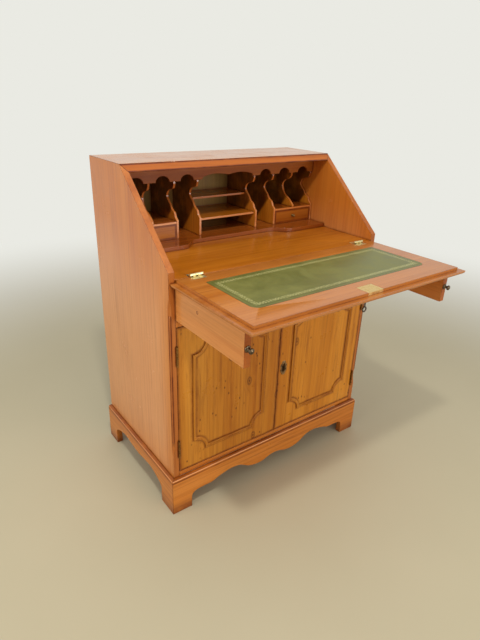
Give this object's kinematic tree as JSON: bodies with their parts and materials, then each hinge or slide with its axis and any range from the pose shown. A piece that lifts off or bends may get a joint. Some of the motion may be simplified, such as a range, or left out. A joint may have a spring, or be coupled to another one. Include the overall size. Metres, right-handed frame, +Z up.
{
  "type": "fall front secretaire",
  "caption": "Writing bureau with a leather-lined fall on pull-out supports, pigeonholes with small drawers, a long drawer and a double-door cupboard on a shaped plinth.",
  "frame": {"origin": "on the floor, under the middle of the whole piece with its fall open and its supports drawn out", "axes": "+X to the right as seen from the front, +Y to the back, +Z up"},
  "size_m": [0.784, 0.786, 0.986],
  "materials": {
    "case_wood": "yellow brown figured veneer, semi-gloss polish",
    "top_wood": "polished veneer with a high gloss",
    "inside_wood": "amber brown veneer, satin",
    "door_wood": "upright figured veneer with pips and knots, semi-gloss",
    "moulding_wood": "red brown moulding, semi-gloss",
    "drawer_wood": "amber brown veneer, satin",
    "back_wood": "plain olive brown panel, matt",
    "leather": "green skiver with a gilt tooled border, satin",
    "brass": "aged brass, satin",
    "bright_brass": "pale yellow brass, polished",
    "key_steel": "dark worn steel"
  },
  "bodies": {
    "case": {"side_left": "case_wood", "side_right": "case_wood", "top_board": "top_wood", "writing_board": "inside_wood", "back_panel": "back_wood", "drawer_rail": "case_wood", "cupboard_floor": "case_wood", "cupboard_shelf": "inside_wood", "loper_partition_left": "case_wood", "loper_partition_right": "case_wood", "plinth_front": "case_wood", "plinth_side_left": "case_wood", "plinth_side_right": "case_wood", "fall_hinge_case_left": "bright_brass", "fall_hinge_case_right": "bright_brass", "door_hinge_case_left_lower": "bright_brass", "door_hinge_case_left_upper": "bright_brass", "door_hinge_case_right_lower": "bright_brass", "door_hinge_case_right_upper": "bright_brass", "pigeonhole_base": "inside_wood", "end_panel_left": "inside_wood", "end_panel_right": "inside_wood", "divider_outer_left": "inside_wood", "divider_outer_right": "inside_wood", "divider_inner_left": "inside_wood", "divider_inner_right": "inside_wood", "divider_short_left": "inside_wood", "divider_short_right": "inside_wood", "drawer_top_left": "inside_wood", "drawer_top_right": "inside_wood", "centre_shelf_lower": "inside_wood", "centre_shelf_upper": "inside_wood", "pigeonhole_frieze": "inside_wood"},
    "fall": {"fall_board": "case_wood", "fall_leather": "leather", "fall_lock": "bright_brass", "fall_hinge_leaf_left": "bright_brass", "fall_hinge_leaf_right": "bright_brass"},
    "fall_bolt": {"fall_lock_bolt": "bright_brass"},
    "fall_key": {"key": "key_steel"},
    "loper_left": {"loper_left": "case_wood", "loper_knob_left": "brass"},
    "loper_right": {"loper_right": "case_wood", "loper_knob_right": "brass"},
    "long_drawer": {"long_drawer": "drawer_wood", "long_drawer_knob_left": "brass", "long_drawer_knob_right": "brass"},
    "door_left": {"door_left": "door_wood", "door_moulding_left": "moulding_wood", "door_hinge_leaf_left_lower": "bright_brass", "door_hinge_leaf_left_upper": "bright_brass"},
    "door_right": {"door_right": "door_wood", "door_moulding_right": "moulding_wood", "door_hinge_leaf_right_lower": "bright_brass", "door_hinge_leaf_right_upper": "bright_brass", "door_escutcheon": "brass"},
    "small_drawer_left": {"small_drawer_left": "drawer_wood", "small_drawer_knob_left": "brass"},
    "small_drawer_right": {"small_drawer_right": "drawer_wood", "small_drawer_knob_right": "brass"}
  },
  "joints": [
    {"name": "fall_swing", "type": "hinge", "parent": "case", "child": "fall", "pos_m": [0, -0.065, 0.74623], "axis": [-1, 0, 0], "range_deg": [0, 138.08]},
    {"name": "key_turn", "type": "hinge", "parent": "fall", "child": "fall_key", "pos_m": [0.003, -0.358, 0.724], "axis": [0, 0, 1], "range_deg": [0, 180]},
    {"name": "bolt_slide", "type": "slide", "parent": "fall", "child": "fall_bolt", "axis": [0, -1, 0], "range_m": [0, 0.013]},
    {"name": "loper_left_slide", "type": "slide", "parent": "case", "child": "loper_left", "axis": [0, 1, 0], "range_m": [0, 0.289]},
    {"name": "loper_right_slide", "type": "slide", "parent": "case", "child": "loper_right", "axis": [0, 1, 0], "range_m": [0, 0.289]},
    {"name": "long_drawer_slide", "type": "slide", "parent": "case", "child": "long_drawer", "axis": [0, -1, 0], "range_m": [0, 0.27]},
    {"name": "door_left_swing", "type": "hinge", "parent": "case", "child": "door_left", "pos_m": [-0.3615, -0.0685, 0.377], "axis": [0, 0, -1], "range_deg": [0, 110]},
    {"name": "door_right_swing", "type": "hinge", "parent": "case", "child": "door_right", "pos_m": [0.3615, -0.0685, 0.377], "axis": [0, 0, 1], "range_deg": [0, 110]},
    {"name": "small_drawer_left_slide", "type": "slide", "parent": "case", "child": "small_drawer_left", "axis": [0, 1, 0], "range_m": [-0.12, 0]},
    {"name": "small_drawer_right_slide", "type": "slide", "parent": "case", "child": "small_drawer_right", "axis": [0, 1, 0], "range_m": [-0.12, 0]}
  ],
  "couplings": [
    {"joint": "key_turn", "follows": "bolt_slide", "rad_per_m": 241.66}
  ]
}
